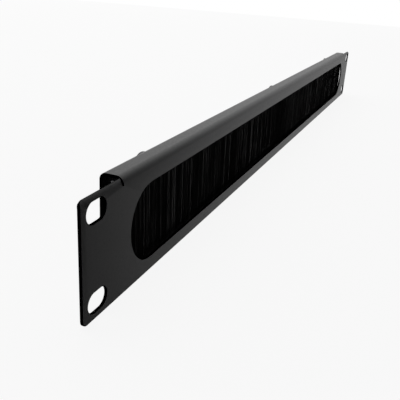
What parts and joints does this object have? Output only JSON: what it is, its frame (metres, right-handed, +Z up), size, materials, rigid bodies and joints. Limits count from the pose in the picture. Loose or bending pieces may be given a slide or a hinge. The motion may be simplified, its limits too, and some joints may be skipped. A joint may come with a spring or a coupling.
{
  "type": "rack brush strip panel",
  "caption": "Folded black rack panel with a long round-ended cable opening closed by a hanging strip brush.",
  "frame": {"origin": "centre of the pattern of four rack slots, on the rear face of the sheet, which seats on the rack rails", "axes": "+X along the panel, towards its right end seen from the front; the front face looks along -Y; +Z up, towards the folded flange"},
  "size_m": [0.4826, 0.0135, 0.044],
  "materials": {
    "black_powder_coat": "satin black powder coat with a very fine texture",
    "black_anodised": "black anodised aluminium extrusion",
    "zinc_plated_steel": "bright zinc-plated steel",
    "black_screw": "black zinc-plated steel screw",
    "black_bristle": "fine black nylon filament"
  },
  "bodies": {
    "root": {"panel": "black_powder_coat", "brush_holder": "black_anodised", "brush_channel": "zinc_plated_steel", "core_wire": "zinc_plated_steel", "bristles": "black_bristle", "screw_left": "black_screw", "screw_middle": "black_screw", "screw_right": "black_screw"}
  },
  "joints": []
}
